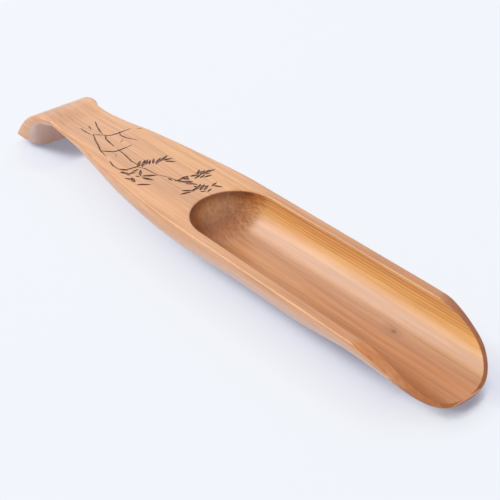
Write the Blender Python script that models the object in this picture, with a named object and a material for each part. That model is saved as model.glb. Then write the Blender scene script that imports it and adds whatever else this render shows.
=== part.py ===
"""Tea scoop carved from one block of upright glued bamboo strips.

The scoop lies along X with its tip towards +X. The origin is on the table, under the middle of its
length and width. Every length is in metres.
"""

import math

import bmesh
import bpy

# Whole scoop, with the flat top of the bowl and handle at this height
LENGTH = 0.185
HEIGHT = 0.015
BOWL_WIDTH = 0.032
ARRIS_RADIUS = 0.0008

# Glue joints of the block, as distances to the left of the middle, and the open line at each joint
LEFT_EDGE_JOINT = 0.01255
LEFT_SIDE_JOINT = 0.0058
MIDDLE_JOINT = -0.00105
RIGHT_SIDE_JOINT = -0.0079
GLUE_LINE = 0.0003

# Hollow of the bowl: an elliptical trough with a round back end
TROUGH_WIDTH = 0.0256
TROUGH_DEPTH = 0.01035
TROUGH_LENGTH = 0.0952

# Nose of the bowl: its plan is a squarish half oval, and its rim is cut down to the trough's floor
NOSE_LENGTH = 0.0301
NOSE_SQUARENESS = 3.0
RIM_CUT_TO_TIP = 0.0235
LIP_LAND = 0.0005
RIM_CUT_SLOPE = 0.45
TIP_FLAT = 0.00002

# Belly of the bowl, which rests on the table, and the underside in front of and behind it
BELLY_TO_TIP = 0.0496
BELLY_LENGTH = 0.0145
REST_FLAT_WIDTH = 0.006
NOSE_CLEARANCE = 0.0041
NOSE_BASE_LENGTH = 0.0241
NOSE_BASE_CLEARANCE = 0.0026
BOWL_BACK_TO_TIP = 0.0821
BOWL_BACK_CLEARANCE = 0.0015

# Handle: it narrows and thins from the bowl to the neck, and its top dips a little there
SHOULDER_TO_TIP = 0.0921
HANDLE_FRONT_TO_TIP = 0.1191
HANDLE_FRONT_WIDTH = 0.028
HANDLE_FRONT_CLEARANCE = 0.0065
HANDLE_MIDDLE_TO_END = 0.0469
HANDLE_MIDDLE_WIDTH = 0.0231
HANDLE_MIDDLE_THICKNESS = 0.0046
HANDLE_BACK_TO_END = 0.0365
HANDLE_BACK_WIDTH = 0.0198
HANDLE_BACK_THICKNESS = 0.0034
NECK_TO_END = 0.0245
NECK_WIDTH = 0.0181
WAIST_TO_END = 0.0228
NECK_DIP = 0.0006
NECK_THICKNESS = 0.0019

# Hook: it rolls over a crest and runs down to a foot with a round belly of its own
CREST_TO_END = 0.0199
CREST_RISE = 0.0001
HOOK_SKEW = 0.045
CREST_WIDTH = 0.0204
HOOK_WIDEST_TO_END = 0.0125
HOOK_WIDTH = 0.0216
HOOK_CURVE = 2.1
TOE_WIDTH = 0.0208
TOE_HEIGHT = 0.0009
FOOT_LENGTH = 0.0098
FOOT_BELLY_RADIUS = 0.018
FOOT_FLAT_WIDTH = 0.006
ARCH_SQUARENESS = 2.4

# Softness of the lower corners: 1 is an ellipse and 0 is square
BOWL_SOFTNESS = 1.25
NOSE_SOFTNESS = 0.95
HANDLE_SOFTNESS = 0.57
SHOULDER_SOFTNESS = 0.8
NECK_SOFTNESS = 0.42
FOOT_SOFTNESS = 0.4

# Fineness of the faceted surfaces
LOFT_STEPS = 6
HOOK_STEPS = 16
NOSE_STEPS = 9
BELLY_STEPS = 10
ARRIS_STEPS = 3
TROUGH_STEPS = 40
CUT_MARGIN = 0.006

END_X = -LENGTH / 2
TIP_X = LENGTH / 2
HALF_BOWL = BOWL_WIDTH / 2
BELLY_SHARE = (1 - (REST_FLAT_WIDTH / BOWL_WIDTH) ** (2 / BOWL_SOFTNESS)) ** (BOWL_SOFTNESS / 2)
REST_FLAT_DEPTH = HEIGHT * (1 / BELLY_SHARE - 1)
FOOT_FLAT_DEPTH = FOOT_FLAT_WIDTH**2 / 8 / FOOT_BELLY_RADIUS
RIM_CUT_START = TIP_X - RIM_CUT_TO_TIP
CREST_X = END_X + CREST_TO_END
NECK_X = END_X + NECK_TO_END
CREST_HEIGHT = HEIGHT + CREST_RISE
ARCH_HEIGHT = HEIGHT - NECK_DIP - NECK_THICKNESS

# Colour of each strip, from the left edge to the right side, and the shared finish
STRIP_COLOURS = {
    "left_edge_strip": (0.56, 0.35, 0.17),
    "left_side_strip": (0.50, 0.29, 0.13),
    "left_core_strip": (0.58, 0.37, 0.18),
    "right_core_strip": (0.55, 0.34, 0.16),
    "right_side_strip": (0.66, 0.44, 0.23),
}
STRIP_ROUGHNESS = 0.42


def clear_scene():
    for obj in list(bpy.data.objects):
        bpy.data.objects.remove(obj, do_unlink=True)


def new_collection(name):
    collection = bpy.data.collections.new(name)
    bpy.context.scene.collection.children.link(collection)
    return collection


def add_mesh(name, collection, shape):
    """Put a bmesh into a new object of the collection."""
    bmesh.ops.recalc_face_normals(shape, faces=shape.faces)
    mesh = bpy.data.meshes.new(name)
    shape.to_mesh(mesh)
    shape.free()
    obj = bpy.data.objects.new(name, mesh)
    collection.objects.link(obj)
    return obj


def add_cutter(name, cutters, shape):
    cutter = add_mesh(name, cutters, shape)
    cutter.hide_render = True
    cutter.display_type = "WIRE"
    return cutter


def boolean(obj, cutter, operation):
    modifier = obj.modifiers.new(cutter.name, "BOOLEAN")
    modifier.operation = operation
    modifier.solver = "EXACT"
    modifier.object = cutter


def blend(knots, x):
    """Value at x of a smooth curve through the knots that never overshoots them."""
    knots = sorted(knots)
    x = min(max(x, knots[0][0]), knots[-1][0])
    slopes = [(b[1] - a[1]) / (b[0] - a[0]) for a, b in zip(knots, knots[1:])]
    tangents = [slopes[0]]
    for before, after in zip(slopes, slopes[1:]):
        level = before * after <= 0
        tangents.append(0 if level else 2 * before * after / (before + after))
    tangents.append(slopes[-1])
    last = len(slopes) - 1
    i = min(sum(x > knot[0] for knot in knots[1:]), last)
    span = knots[i + 1][0] - knots[i][0]
    t = (x - knots[i][0]) / span
    rise = 3 * t**2 - 2 * t**3
    return (
        knots[i][1] * (1 - rise)
        + knots[i + 1][1] * rise
        + span * tangents[i] * t * (1 - t) ** 2
        - span * tangents[i + 1] * t**2 * (1 - t)
    )


def top_height(x):
    """Top line in front of the crest: it dips at the neck and is flat from the handle on."""
    return blend(
        (
            (CREST_X, CREST_HEIGHT),
            (NECK_X + (NECK_X - CREST_X) / 2, HEIGHT - NECK_DIP),
            (END_X + HANDLE_MIDDLE_TO_END, HEIGHT),
            (TIP_X, HEIGHT),
        ),
        x,
    )


def under_height(x):
    """Underside line in front of the neck, sunk at the belly by what the flat takes off."""
    belly_front = TIP_X - BELLY_TO_TIP
    return blend(
        (
            (NECK_X, ARCH_HEIGHT),
            (END_X + HANDLE_BACK_TO_END, HEIGHT - HANDLE_BACK_THICKNESS),
            (END_X + HANDLE_MIDDLE_TO_END, HEIGHT - HANDLE_MIDDLE_THICKNESS),
            (TIP_X - HANDLE_FRONT_TO_TIP, HANDLE_FRONT_CLEARANCE),
            (TIP_X - BOWL_BACK_TO_TIP, BOWL_BACK_CLEARANCE),
            (belly_front - BELLY_LENGTH, -REST_FLAT_DEPTH),
            (belly_front, -REST_FLAT_DEPTH),
            (TIP_X - NOSE_BASE_LENGTH, NOSE_BASE_CLEARANCE),
            (TIP_X, NOSE_CLEARANCE),
        ),
        x,
    )


def half_width(x):
    """Half of the plan's width, with the nose left square: nose_half_width rounds it."""
    width = blend(
        (
            (END_X, TOE_WIDTH),
            (END_X + HOOK_WIDEST_TO_END, HOOK_WIDTH),
            (CREST_X, CREST_WIDTH),
            (END_X + WAIST_TO_END, NECK_WIDTH),
            (END_X + HANDLE_BACK_TO_END, HANDLE_BACK_WIDTH),
            (END_X + HANDLE_MIDDLE_TO_END, HANDLE_MIDDLE_WIDTH),
            (TIP_X - HANDLE_FRONT_TO_TIP, HANDLE_FRONT_WIDTH),
            (TIP_X - SHOULDER_TO_TIP, BOWL_WIDTH),
            (TIP_X, BOWL_WIDTH),
        ),
        x,
    )
    return width / 2


def softness(x):
    return blend(
        (
            (END_X, FOOT_SOFTNESS),
            (NECK_X, NECK_SOFTNESS),
            (END_X + HANDLE_BACK_TO_END, NECK_SOFTNESS),
            (TIP_X - HANDLE_FRONT_TO_TIP, HANDLE_SOFTNESS),
            (TIP_X - SHOULDER_TO_TIP, SHOULDER_SOFTNESS),
            (TIP_X - BELLY_TO_TIP - BELLY_LENGTH, BOWL_SOFTNESS),
            (TIP_X - NOSE_LENGTH, BOWL_SOFTNESS),
            (TIP_X, NOSE_SOFTNESS),
        ),
        x,
    )


def nose_half_width(x):
    along = max(0, (x - (TIP_X - NOSE_LENGTH)) / NOSE_LENGTH)
    return HALF_BOWL * max(0, 1 - along**NOSE_SQUARENESS) ** (1 / NOSE_SQUARENESS)


def section(top, under, wide, soft, plan):
    """Closed ring of points round one section, from the top face down both sides.

    The section lies in the plane through the side-view points top and under. It is a D of half
    width wide, cut off upright at the plan's half width.
    """
    depth = math.dist(top, under)
    wide_cut = min(wide, plan)
    arris = min(ARRIS_RADIUS, depth / 3, wide_cut / 2)
    from_arris = math.asin((arris / depth) ** (1 / soft))
    from_plan = math.acos(min(1, wide_cut / wide) ** (1 / soft))
    start = max(from_arris, from_plan)
    side = []
    for step in range(ARRIS_STEPS + 1):
        angle = math.pi / 2 * step / ARRIS_STEPS
        side.append((wide_cut - arris + arris * math.sin(angle), arris - arris * math.cos(angle)))
    for step in range(BELLY_STEPS + 1):
        angle = start + (math.pi / 2 - start) * step / BELLY_STEPS
        across = min(wide_cut, wide * max(0, math.cos(angle)) ** soft)
        side.append((across, depth * math.sin(angle) ** soft))
    ring = [(-y, d) for y, d in side[:-1]] + [(0, depth)] + [(y, d) for y, d in reversed(side[:-1])]
    points = []
    for y, down in ring:
        share = down / depth
        points.append(
            (
                top[0] + (under[0] - top[0]) * share,
                y,
                top[1] + (under[1] - top[1]) * share,
            )
        )
    return points


def hook_rings():
    """Sections that roll from the neck over the crest and down to the foot, lowest first.

    The outer face falls ever more steeply from the crest to the toe. The inner face is a quarter
    of a squarish oval, from the top of the arch under the neck down to the foot. The hook is a
    little askew: its left side runs further back.
    """
    arch_run = NECK_TO_END - FOOT_LENGTH
    rings = []
    for step in range(HOOK_STEPS + 2, 0, -1):
        share = step / HOOK_STEPS
        outer_x = NECK_X - NECK_TO_END * share
        fall = (max(0, CREST_X - outer_x) / CREST_TO_END) ** HOOK_CURVE
        if outer_x > CREST_X:
            outer_z = top_height(outer_x)
        else:
            outer_z = CREST_HEIGHT - (CREST_HEIGHT - TOE_HEIGHT) * fall
        turn = min(share, 1) * math.pi / 2
        inner_x = NECK_X - arch_run * math.sin(turn) ** (2 / ARCH_SQUARENESS)
        inner_z = ARCH_HEIGHT * max(0, math.cos(turn)) ** (2 / ARCH_SQUARENESS)
        inner_z -= NECK_TO_END * max(0, share - 1)
        wide = half_width(outer_x)
        ring = section((outer_x, outer_z), (inner_x, inner_z), wide, softness(outer_x), HALF_BOWL)
        skew = HOOK_SKEW * min(1, (NECK_X - outer_x) / (NECK_X - CREST_X))
        rings.append([(x - skew * (y + HOOK_WIDTH / 2), y, z) for x, y, z in ring])
    return rings


def blade_rings():
    """Upright sections of the handle and the bowl, from the neck to the tip."""
    nose_x = TIP_X - NOSE_LENGTH
    places = [
        NECK_X,
        END_X + HANDLE_BACK_TO_END,
        END_X + HANDLE_MIDDLE_TO_END,
        TIP_X - HANDLE_FRONT_TO_TIP,
        TIP_X - SHOULDER_TO_TIP,
        TIP_X - BELLY_TO_TIP - BELLY_LENGTH,
        TIP_X - BELLY_TO_TIP,
        nose_x,
    ]
    stations = []
    for start, stop in zip(places, places[1:]):
        stations += [start + (stop - start) * step / LOFT_STEPS for step in range(LOFT_STEPS)]
    for step in range(2 * NOSE_STEPS):
        stations.append(nose_x + NOSE_LENGTH * math.sin(math.pi / 4 * step / NOSE_STEPS))
    stations.append(TIP_X - TIP_FLAT)
    return [
        section(
            (x, top_height(x)), (x, under_height(x)), half_width(x), softness(x), nose_half_width(x)
        )
        for x in stations
    ]


def loft(rings):
    """Closed skin through rings of equally many points."""
    shape = bmesh.new()
    loops = [[shape.verts.new(point) for point in ring] for ring in rings]
    for back, front in zip(loops, loops[1:]):
        for i, point in enumerate(back):
            shape.faces.new((point, back[i - 1], front[i - 1], front[i]))
    shape.faces.new(loops[0])
    shape.faces.new(loops[-1][::-1])
    bmesh.ops.remove_doubles(shape, verts=shape.verts, dist=1e-6)
    bmesh.ops.triangulate(shape, faces=shape.faces)
    return shape


def trough_shape():
    """Half an ellipsoid at the back of the bowl, drawn straight out past the tip."""
    shape = bmesh.new()
    bmesh.ops.create_uvsphere(
        shape, u_segments=TROUGH_STEPS, v_segments=TROUGH_STEPS // 2, radius=1
    )
    half = TROUGH_WIDTH / 2
    bmesh.ops.scale(shape, vec=(half, half, TROUGH_DEPTH), verts=shape.verts)
    geometry = shape.verts[:] + shape.edges[:] + shape.faces[:]
    bmesh.ops.bisect_plane(
        shape, geom=geometry, plane_co=(0, 0, 0), plane_no=(1, 0, 0), clear_outer=True
    )
    rim = [edge for edge in shape.edges if edge.is_boundary]
    drawn = bmesh.ops.extrude_edge_only(shape, edges=rim)["geom"]
    moved = [part for part in drawn if isinstance(part, bmesh.types.BMVert)]
    bmesh.ops.translate(shape, verts=moved, vec=(TROUGH_LENGTH + CUT_MARGIN, 0, 0))
    bmesh.ops.holes_fill(shape, edges=[edge for edge in shape.edges if edge.is_boundary])
    back_centre = TIP_X - TROUGH_LENGTH + half
    bmesh.ops.translate(shape, verts=shape.verts, vec=(back_centre, 0, HEIGHT))
    return shape


def rim_cut_height(x, y):
    """Cut that drops ever more steeply from the rim to the trough's floor, leaning outwards."""
    share = min(1, max(0, x - RIM_CUT_START) / (RIM_CUT_TO_TIP - LIP_LAND))
    lean = RIM_CUT_SLOPE * min(1, 2 * share) * max(0, abs(y) - TROUGH_WIDTH / 2)
    return HEIGHT - TROUGH_DEPTH * share**2 - lean


def rim_cut_shape():
    """Block above the cut-down rim of the nose."""
    wall = TROUGH_WIDTH / 2
    reach = BOWL_WIDTH
    across = [-reach, -reach / 2, -wall, 0, wall, reach / 2, reach]
    drop = RIM_CUT_TO_TIP - LIP_LAND
    along = [drop * step / 2 / NOSE_STEPS for step in range(2 * NOSE_STEPS + 1)]
    along.append(RIM_CUT_TO_TIP + CUT_MARGIN)
    shape = bmesh.new()
    rows = []
    for run in along:
        x = RIM_CUT_START + run
        rows.append([shape.verts.new((x, y, rim_cut_height(x, y))) for y in across])
    for back, front in zip(rows, rows[1:]):
        for i in range(len(across) - 1):
            shape.faces.new((back[i], back[i + 1], front[i + 1], front[i]))
    raised = bmesh.ops.extrude_face_region(shape, geom=shape.faces[:])["geom"]
    for part in raised:
        if isinstance(part, bmesh.types.BMVert):
            part.co.z = HEIGHT + CUT_MARGIN
    bmesh.ops.triangulate(shape, faces=shape.faces)
    return shape


def box_shape(low, high):
    shape = bmesh.new()
    bmesh.ops.create_cube(shape, size=1)
    size = [b - a for a, b in zip(low, high)]
    centre = [(a + b) / 2 for a, b in zip(low, high)]
    bmesh.ops.scale(shape, vec=size, verts=shape.verts)
    bmesh.ops.translate(shape, vec=centre, verts=shape.verts)
    return shape


def foot_belly_shape():
    """Bar with a hollow top, which rounds the foot's lower edge like the bowl's belly."""
    reach = HOOK_WIDTH / 2 + CUT_MARGIN / 2
    centre_z = FOOT_BELLY_RADIUS - FOOT_FLAT_DEPTH
    most = math.asin(min(0.95, reach / FOOT_BELLY_RADIUS))
    points = []
    for step in range(2 * BELLY_STEPS + 1):
        angle = most * (step / BELLY_STEPS - 1)
        height = centre_z - FOOT_BELLY_RADIUS * math.cos(angle)
        points.append((FOOT_BELLY_RADIUS * math.sin(angle), height))
    low = -CUT_MARGIN * 2
    points += [(points[-1][0], low), (points[0][0], low)]
    shape = bmesh.new()
    face = shape.faces.new([shape.verts.new((END_X - CUT_MARGIN, y, z)) for y, z in points])
    drawn = bmesh.ops.extrude_face_region(shape, geom=[face])["geom"]
    moved = [part for part in drawn if isinstance(part, bmesh.types.BMVert)]
    length = FOOT_LENGTH + 2 * CUT_MARGIN
    bmesh.ops.translate(shape, verts=moved, vec=(length, 0, 0))
    return shape


def carve_block(cutters):
    """Whole scoop in one piece, before it is told apart into its strips."""
    block = add_cutter("block", cutters, loft(hook_rings() + blade_rings()))
    far = LENGTH / 2 + 2 * CUT_MARGIN
    wide = BOWL_WIDTH
    table = box_shape((-far, -wide, -3 * CUT_MARGIN), (far, wide, 0))
    toe = box_shape((-far, -wide, -3 * CUT_MARGIN), (END_X, wide, HEIGHT))
    for name, shape in (
        ("trough", trough_shape()),
        ("rim_cut", rim_cut_shape()),
        ("foot_belly", foot_belly_shape()),
        ("table_plane", table),
        ("toe_plane", toe),
    ):
        boolean(block, add_cutter(name, cutters, shape), "DIFFERENCE")
    return block


def bamboo(name, colour):
    material = bpy.data.materials.new(name)
    material.use_nodes = True
    shader = material.node_tree.nodes["Principled BSDF"]
    shader.inputs["Base Color"].default_value = (*colour, 1)
    shader.inputs["Roughness"].default_value = STRIP_ROUGHNESS
    shader.inputs["Metallic"].default_value = 0
    return material


def add_strips(block, parts, cutters):
    """One object for each strip: the block between two glue joints."""
    outside = BOWL_WIDTH
    joints = (
        outside,
        LEFT_EDGE_JOINT,
        LEFT_SIDE_JOINT,
        MIDDLE_JOINT,
        RIGHT_SIDE_JOINT,
        -outside,
    )
    graph = bpy.context.evaluated_depsgraph_get()
    carved = bpy.data.meshes.new_from_object(block.evaluated_get(graph))
    far = LENGTH / 2 + CUT_MARGIN
    for name, left, right in zip(STRIP_COLOURS, joints, joints[1:]):
        strip = bpy.data.objects.new(name, carved.copy())
        parts.objects.link(strip)
        strip.data.materials.clear()
        strip.data.materials.append(bamboo(name, STRIP_COLOURS[name]))
        low = (-far, right + GLUE_LINE / 2, -CUT_MARGIN)
        high = (far, left - GLUE_LINE / 2, HEIGHT + CUT_MARGIN)
        boolean(strip, add_cutter(name + "_slab", cutters, box_shape(low, high)), "INTERSECT")
    bpy.data.meshes.remove(carved)


def main():
    clear_scene()
    parts = new_collection("tea_scoop")
    cutters = new_collection("cutters")
    block = carve_block(cutters)
    add_strips(block, parts, cutters)


main()
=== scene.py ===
from collections import namedtuple
import math

import bmesh
import bpy
from mathutils import Matrix, Vector, geometry


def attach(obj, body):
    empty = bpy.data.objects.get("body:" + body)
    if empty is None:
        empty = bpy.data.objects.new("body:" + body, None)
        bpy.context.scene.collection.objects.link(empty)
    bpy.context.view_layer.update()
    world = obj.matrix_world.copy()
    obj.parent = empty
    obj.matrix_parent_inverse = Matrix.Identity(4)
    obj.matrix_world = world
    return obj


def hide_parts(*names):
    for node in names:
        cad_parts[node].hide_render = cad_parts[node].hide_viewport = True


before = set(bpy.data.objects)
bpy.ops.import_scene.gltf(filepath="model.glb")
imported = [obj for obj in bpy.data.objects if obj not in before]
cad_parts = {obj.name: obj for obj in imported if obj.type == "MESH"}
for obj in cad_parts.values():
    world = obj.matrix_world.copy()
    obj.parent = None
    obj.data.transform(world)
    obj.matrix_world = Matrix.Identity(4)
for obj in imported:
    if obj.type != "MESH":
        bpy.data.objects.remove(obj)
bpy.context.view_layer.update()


# THE BLANK. The real scoop starts as one block of bamboo strips, glued side by side on edge. It
# is cut to this outline: a round-bellied bowl, a flat tapering handle, and a hook that rolls
# over at the back and comes down to the table as a foot.
LENGTH, HEIGHT, BOWL_WIDTH = 0.185, 0.015, 0.032
END_X, TIP_X, HALF_BOWL = -LENGTH / 2, LENGTH / 2, BOWL_WIDTH / 2
ARRIS_RADIUS = 0.0008
# How far belly and foot reach below the table before they are sanded flat
BELLY_SINK, FOOT_SINK = 0.00068, 0.00025
CREST_X, NECK_X = END_X + 0.0199, END_X + 0.0245
CREST_HEIGHT, HOOK_DROP = 0.0151, 0.0142
ARCH_TOP, ARCH_REACH = 0.0125, 0.0147

TOP_LINE = (
    (CREST_X, CREST_HEIGHT),
    (NECK_X + 0.0023, 0.0144),
    (END_X + 0.0469, HEIGHT),
    (TIP_X, HEIGHT),
)
UNDER_LINE = (
    (NECK_X, ARCH_TOP),
    (END_X + 0.0365, 0.0116),
    (END_X + 0.0469, 0.0104),
    (TIP_X - 0.1191, 0.0065),
    (TIP_X - 0.0821, 0.0015),
    (TIP_X - 0.0641, -BELLY_SINK),
    (TIP_X - 0.0496, -BELLY_SINK),
    (TIP_X - 0.0241, 0.0026),
    (TIP_X, 0.0041),
)
PLAN_WIDTH = (
    (END_X, 0.0208),
    (END_X + 0.0125, 0.0216),
    (CREST_X, 0.0204),
    (END_X + 0.0228, 0.0181),
    (END_X + 0.0365, 0.0198),
    (END_X + 0.0469, 0.0231),
    (TIP_X - 0.1191, 0.028),
    (TIP_X - 0.0921, BOWL_WIDTH),
    (TIP_X, BOWL_WIDTH),
)
# 1 is a half ellipse and 0 is square
CORNER_SOFTNESS = (
    (END_X, 0.4),
    (NECK_X, 0.42),
    (END_X + 0.0365, 0.42),
    (TIP_X - 0.1191, 0.57),
    (TIP_X - 0.0921, 0.8),
    (TIP_X - 0.0641, 1.25),
    (TIP_X - 0.0301, 1.25),
    (TIP_X, 0.95),
)
NOSE_LENGTH, NOSE_SQUARENESS, NOSE_END = 0.0301, 3.0, 0.00002
HOOK_CURVE, ARCH_SQUARENESS = 2.1, 2.4
# The hook is skewed back by this share of the distance from its right corner
HOOK_SKEW, SKEW_CORNER_Y = 0.045, -0.0108
SIDE_STEPS, ARRIS_STEPS, HOOK_STEPS, BLADE_STEPS, NOSE_STEPS = 34, 6, 56, 150, 34
STEPS_BELOW_FOOT = 6
MERGE_DISTANCE = 1e-7


def faired(knots, x):
    """Height, width or softness at x, on a fair line through the knots without any overshoot."""
    x = min(max(x, knots[0][0]), knots[-1][0])
    slopes = [(b[1] - a[1]) / (b[0] - a[0]) for a, b in zip(knots, knots[1:])]
    turns = [0 if a * b <= 0 else 2 * a * b / (a + b) for a, b in zip(slopes, slopes[1:])]
    turns = [slopes[0], *turns, slopes[-1]]
    i = min(sum(x > knot[0] for knot in knots[1:]), len(slopes) - 1)
    span = knots[i + 1][0] - knots[i][0]
    t = (x - knots[i][0]) / span
    rise = t * t * (3 - 2 * t)
    bend = span * (turns[i] * t * (1 - t) ** 2 - turns[i + 1] * t * t * (1 - t))
    return knots[i][1] * (1 - rise) + knots[i + 1][1] * rise + bend


def sawn_section(x, top, under, plan=HALF_BOWL):
    """Ring of points: flat top, rounded arrises, soft-cornered belly, no wider than plan."""
    wide = faired(PLAN_WIDTH, x) / 2
    soft = faired(CORNER_SOFTNESS, x)
    depth = math.dist(top, under)
    cut = min(wide, plan)
    arris = min(ARRIS_RADIUS, depth / 3, cut / 2)
    below_arris = math.asin((arris / depth) ** (1 / soft))
    inside_plan = math.acos(min(1, cut / wide) ** (1 / soft))
    start = max(below_arris, inside_plan)
    side = []
    for step in range(ARRIS_STEPS + 1):
        turn = math.pi / 2 * step / ARRIS_STEPS
        side.append((cut - arris + arris * math.sin(turn), arris - arris * math.cos(turn)))
    for step in range(1, SIDE_STEPS):
        turn = start + (math.pi / 2 - start) * step / SIDE_STEPS
        side.append((min(cut, wide * math.cos(turn) ** soft), depth * math.sin(turn) ** soft))
    ring = [(-y, down) for y, down in side] + [(0, depth)] + [(y, down) for y, down in side[::-1]]
    run, rise = under[0] - top[0], under[1] - top[1]
    return [(top[0] + run * down / depth, y, top[1] + rise * down / depth) for y, down in ring]


def hook_sections():
    """From below the foot, up the hook and over its crest to the neck."""
    for step in range(HOOK_STEPS + STEPS_BELOW_FOOT, 0, -1):
        share = step / HOOK_STEPS
        outer_x = NECK_X - (NECK_X - END_X) * share
        outer_z = faired(TOP_LINE, outer_x)
        if outer_x < CREST_X:
            fall = ((CREST_X - outer_x) / (CREST_X - END_X)) ** HOOK_CURVE
            outer_z = CREST_HEIGHT - HOOK_DROP * fall
        turn = min(share, 1) * math.pi / 2
        inner_x = NECK_X - ARCH_REACH * math.sin(turn) ** (2 / ARCH_SQUARENESS)
        inner_z = ARCH_TOP * max(0, math.cos(turn)) ** (2 / ARCH_SQUARENESS)
        inner_z -= (NECK_X - END_X) * max(0, share - 1)
        skew = HOOK_SKEW * min(1, (NECK_X - outer_x) / (NECK_X - CREST_X))
        ring = sawn_section(outer_x, (outer_x, outer_z), (inner_x, inner_z))
        yield [(x - skew * (y - SKEW_CORNER_Y), y, z) for x, y, z in ring]


def blade_sections():
    """From the neck along the handle and the bowl to the tip of the nose."""
    nose_x = TIP_X - NOSE_LENGTH
    places = [NECK_X + (nose_x - NECK_X) * step / BLADE_STEPS for step in range(BLADE_STEPS)]
    for step in range(NOSE_STEPS):
        places.append(nose_x + NOSE_LENGTH * math.sin(math.pi / 2 * step / NOSE_STEPS))
    places.append(TIP_X - NOSE_END)
    for x in places:
        along = max(0, (x - nose_x) / NOSE_LENGTH)
        plan = HALF_BOWL * (1 - along**NOSE_SQUARENESS) ** (1 / NOSE_SQUARENESS)
        yield sawn_section(x, (x, faired(TOP_LINE, x)), (x, faired(UNDER_LINE, x)), plan)


# Bare wood as the saw leaves it, until each strip gets its own bamboo
sawn_face = bpy.data.materials.new("sawn_face")


def closed_mesh(name, shape, face=sawn_face):
    """Object from a bmesh whose skin is closed and turned outwards."""
    bmesh.ops.remove_doubles(shape, verts=shape.verts, dist=MERGE_DISTANCE)
    bmesh.ops.recalc_face_normals(shape, faces=shape.faces)
    bmesh.ops.triangulate(shape, faces=shape.faces)
    mesh = bpy.data.meshes.new(name)
    shape.to_mesh(mesh)
    shape.free()
    mesh.materials.append(face)
    made = bpy.data.objects.new(name, mesh)
    bpy.context.scene.collection.objects.link(made)
    return made


def lofted(name, rings):
    """Closed skin over a row of rings, with both ends filled."""
    shape = bmesh.new()
    loops = [[shape.verts.new(point) for point in ring] for ring in rings]
    for back, front in zip(loops, loops[1:]):
        for i in range(len(back)):
            shape.faces.new((back[i], back[i - 1], front[i - 1], front[i]))
    shape.faces.new(loops[0])
    shape.faces.new(loops[-1][::-1])
    return closed_mesh(name, shape)


def cuboid(name, low, high):
    """Block between two corners."""
    shape = bmesh.new()
    middle = (Vector(low) + Vector(high)) / 2
    size = Vector(high) - Vector(low)
    placed = Matrix.Translation(middle) @ Matrix.Diagonal((*size, 1))
    bmesh.ops.create_cube(shape, size=1, matrix=placed)
    return closed_mesh(name, shape)


def extruded(shape, faces):
    """Extrude faces, and give the new points, which are still to be moved."""
    made = bmesh.ops.extrude_face_region(shape, geom=faces)["geom"]
    return [part for part in made if isinstance(part, bmesh.types.BMVert)]


def worked(blank, tools):
    """Cut each tool's shape away from the blank, and drop the tools."""
    for tool in tools:
        cut = blank.modifiers.new(tool.name, "BOOLEAN")
        cut.operation, cut.solver, cut.object = "DIFFERENCE", "MANIFOLD", tool
        cut.material_mode = "TRANSFER"
    graph = bpy.context.evaluated_depsgraph_get()
    mesh = bpy.data.meshes.new_from_object(blank.evaluated_get(graph))
    blank.modifiers.clear()
    blank.data = mesh
    for tool in tools:
        bpy.data.objects.remove(tool)


blank = lofted("blank", [*hook_sections(), *blade_sections()])

# The foot's lower edge is rounded across and its back is sawn square to the scoop's length. Then
# the whole underside is sanded flat on a board.
TOOL_OVERRUN = 0.006
FOOT_RADIUS, FOOT_HALF, FOOT_ARC_STEPS = 0.018, 0.0138, 24
ROUNDING_LENGTH, ROUNDING_DEPTH = 0.0218, 0.012
BOARD_HALF_LENGTH, BOARD_HALF_WIDTH, BOARD_DEPTH = 0.12, 0.04, 0.02
TOE_CUT_TOP = 0.0149


def foot_rounding():
    """Block below the foot, whose hollow top leaves the foot's edge round."""
    arc = []
    for step in range(-FOOT_ARC_STEPS, FOOT_ARC_STEPS + 1):
        y = FOOT_HALF * step / FOOT_ARC_STEPS
        arc.append((y, FOOT_RADIUS - FOOT_SINK - math.sqrt(FOOT_RADIUS**2 - y**2)))
    arc += [(FOOT_HALF, -ROUNDING_DEPTH), (-FOOT_HALF, -ROUNDING_DEPTH)]
    shape = bmesh.new()
    end = shape.faces.new([shape.verts.new((END_X - TOOL_OVERRUN, y, z)) for y, z in arc])
    bmesh.ops.translate(shape, verts=extruded(shape, [end]), vec=(ROUNDING_LENGTH, 0, 0))
    return closed_mesh("foot_rounding", shape)


below = (-BOARD_HALF_LENGTH, -BOARD_HALF_WIDTH, -BOARD_DEPTH)
board = cuboid("board", below, (BOARD_HALF_LENGTH, BOARD_HALF_WIDTH, 0))
toe_cut = cuboid("toe_cut", below, (END_X, BOARD_HALF_WIDTH, TOE_CUT_TOP))
worked(blank, [foot_rounding(), board, toe_cut])


# THE HOLLOW. A gouge takes out the trough, which has a round back end and a softened rim, and a
# knife then cuts the rim of the nose down to the floor, so that tea slides out over a thin lip.
TROUGH_HALF, TROUGH_DEPTH, TROUGH_LENGTH = 0.0128, 0.01035, 0.0952
RIM_ROUND, RIM_TURN, NOSE_FULLNESS = 0.0005, math.radians(76), 0.13
# How far the gouge's shape flares out and up beyond the rim, and how high it ends
FLARE_OUT, FLARE_UP, GOUGE_TOP = 0.0024, 0.0006, 0.004
RIM_CUT_LENGTH, LIP_LAND, RIM_CUT_SLOPE = 0.0235, 0.0005, 0.45
KNIFE_HALF = (TROUGH_HALF, 0.0155, 0.018, 0.03)
TROUGH_STEPS, RIM_STEPS, TURN_STEPS, TAPER_STEPS, CUT_STEPS = 40, 8, 64, 12, 40


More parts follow.
